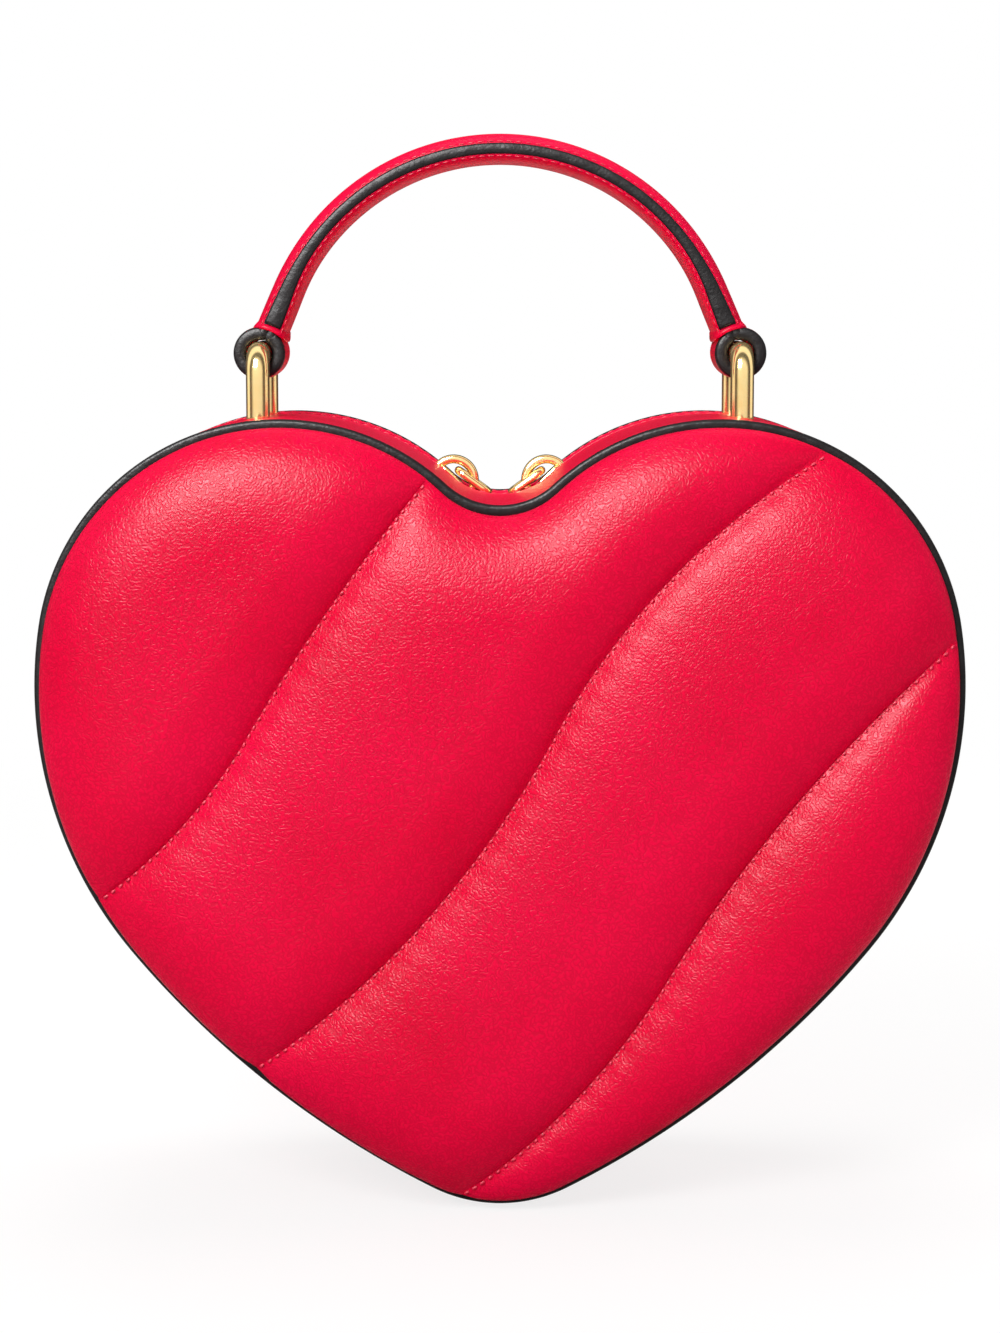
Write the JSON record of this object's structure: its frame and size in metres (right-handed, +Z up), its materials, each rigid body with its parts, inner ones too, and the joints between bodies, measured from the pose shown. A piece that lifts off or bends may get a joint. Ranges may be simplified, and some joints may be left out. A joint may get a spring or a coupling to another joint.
{
  "type": "heart shaped purse",
  "caption": "Heart-shaped padded leather purse with diagonal quilted channels, black painted edges, a zipped back and an arched handle on metal loops.",
  "frame": {"origin": "on the underside of the handle at the top of its arch, midway front to back", "axes": "+Z up, +X across the heart to the right as seen from the front, -Y out of the quilted front"},
  "size_m": [0.236, 0.0915, 0.2752],
  "materials": {
    "red_leather": "smooth semi-gloss calf",
    "black_edge": "satin edge paint",
    "foam": "matt wadding",
    "board": "matt",
    "lining": "matt woven cloth",
    "zip_tape": "matt woven tape",
    "gold": "polished light gold",
    "steel": "zinc plated"
  },
  "bodies": {
    "handle": {"handle_strap": "black_edge", "handle_top_leather": "red_leather", "handle_top_core": "foam", "handle_grip_leather": "red_leather", "handle_grip_core": "foam", "loop_left": "red_leather", "loop_right": "red_leather"},
    "body": {"front_leather": "red_leather", "front_padding": "foam", "front_board": "board", "front_edge": "black_edge", "gusset": "red_leather", "gusset_stiffener": "board", "front_lining": "lining", "gusset_lining": "lining", "inner_pocket": "lining", "body_tape": "zip_tape", "body_teeth": "gold", "tip_hinge": "red_leather", "arch_left": "gold", "arch_right": "gold", "arch_plate_left": "steel", "arch_plate_right": "steel", "arch_screws": "steel"},
    "lid": {"back_leather": "red_leather", "back_padding": "foam", "back_board": "board", "back_edge": "black_edge", "lid_gusset": "red_leather", "lid_stiffener": "board", "back_lining": "lining", "lid_lining": "lining", "lid_tape": "zip_tape", "lid_teeth": "gold"},
    "left_slider": {"slider_left": "gold"},
    "right_slider": {"slider_right": "gold"},
    "left_pull": {"pull_left": "gold"},
    "right_pull": {"pull_right": "gold"}
  },
  "joints": [
    {"name": "handle_shift", "type": "slide", "parent": "handle", "child": "body", "axis": [0, 1, 0], "range_m": [-0.0008, 0.0008]},
    {"name": "lid_hinge", "type": "hinge", "parent": "body", "child": "lid", "pos_m": [0, 0.025, -0.26573], "axis": [-1, 0, 0], "range_deg": [0, 70], "deforming": ["tip_hinge"]},
    {"name": "left_slider_run", "type": "hinge", "parent": "body", "child": "left_slider", "pos_m": [-0.05544, 0.025, -0.12697], "axis": [0, -1, 0], "range_deg": [0, 118]},
    {"name": "right_slider_run", "type": "hinge", "parent": "body", "child": "right_slider", "pos_m": [0.05544, 0.025, -0.12697], "axis": [0, 1, 0], "range_deg": [0, 118]},
    {"name": "left_pull_swing", "type": "hinge", "parent": "left_slider", "child": "left_pull", "pos_m": [-0.01125, 0.025, -0.0811], "axis": [0, -1, 0], "range_deg": [0, 150]},
    {"name": "right_pull_swing", "type": "hinge", "parent": "right_slider", "child": "right_pull", "pos_m": [0.01125, 0.025, -0.0811], "axis": [0, 1, 0], "range_deg": [0, 150]}
  ]
}
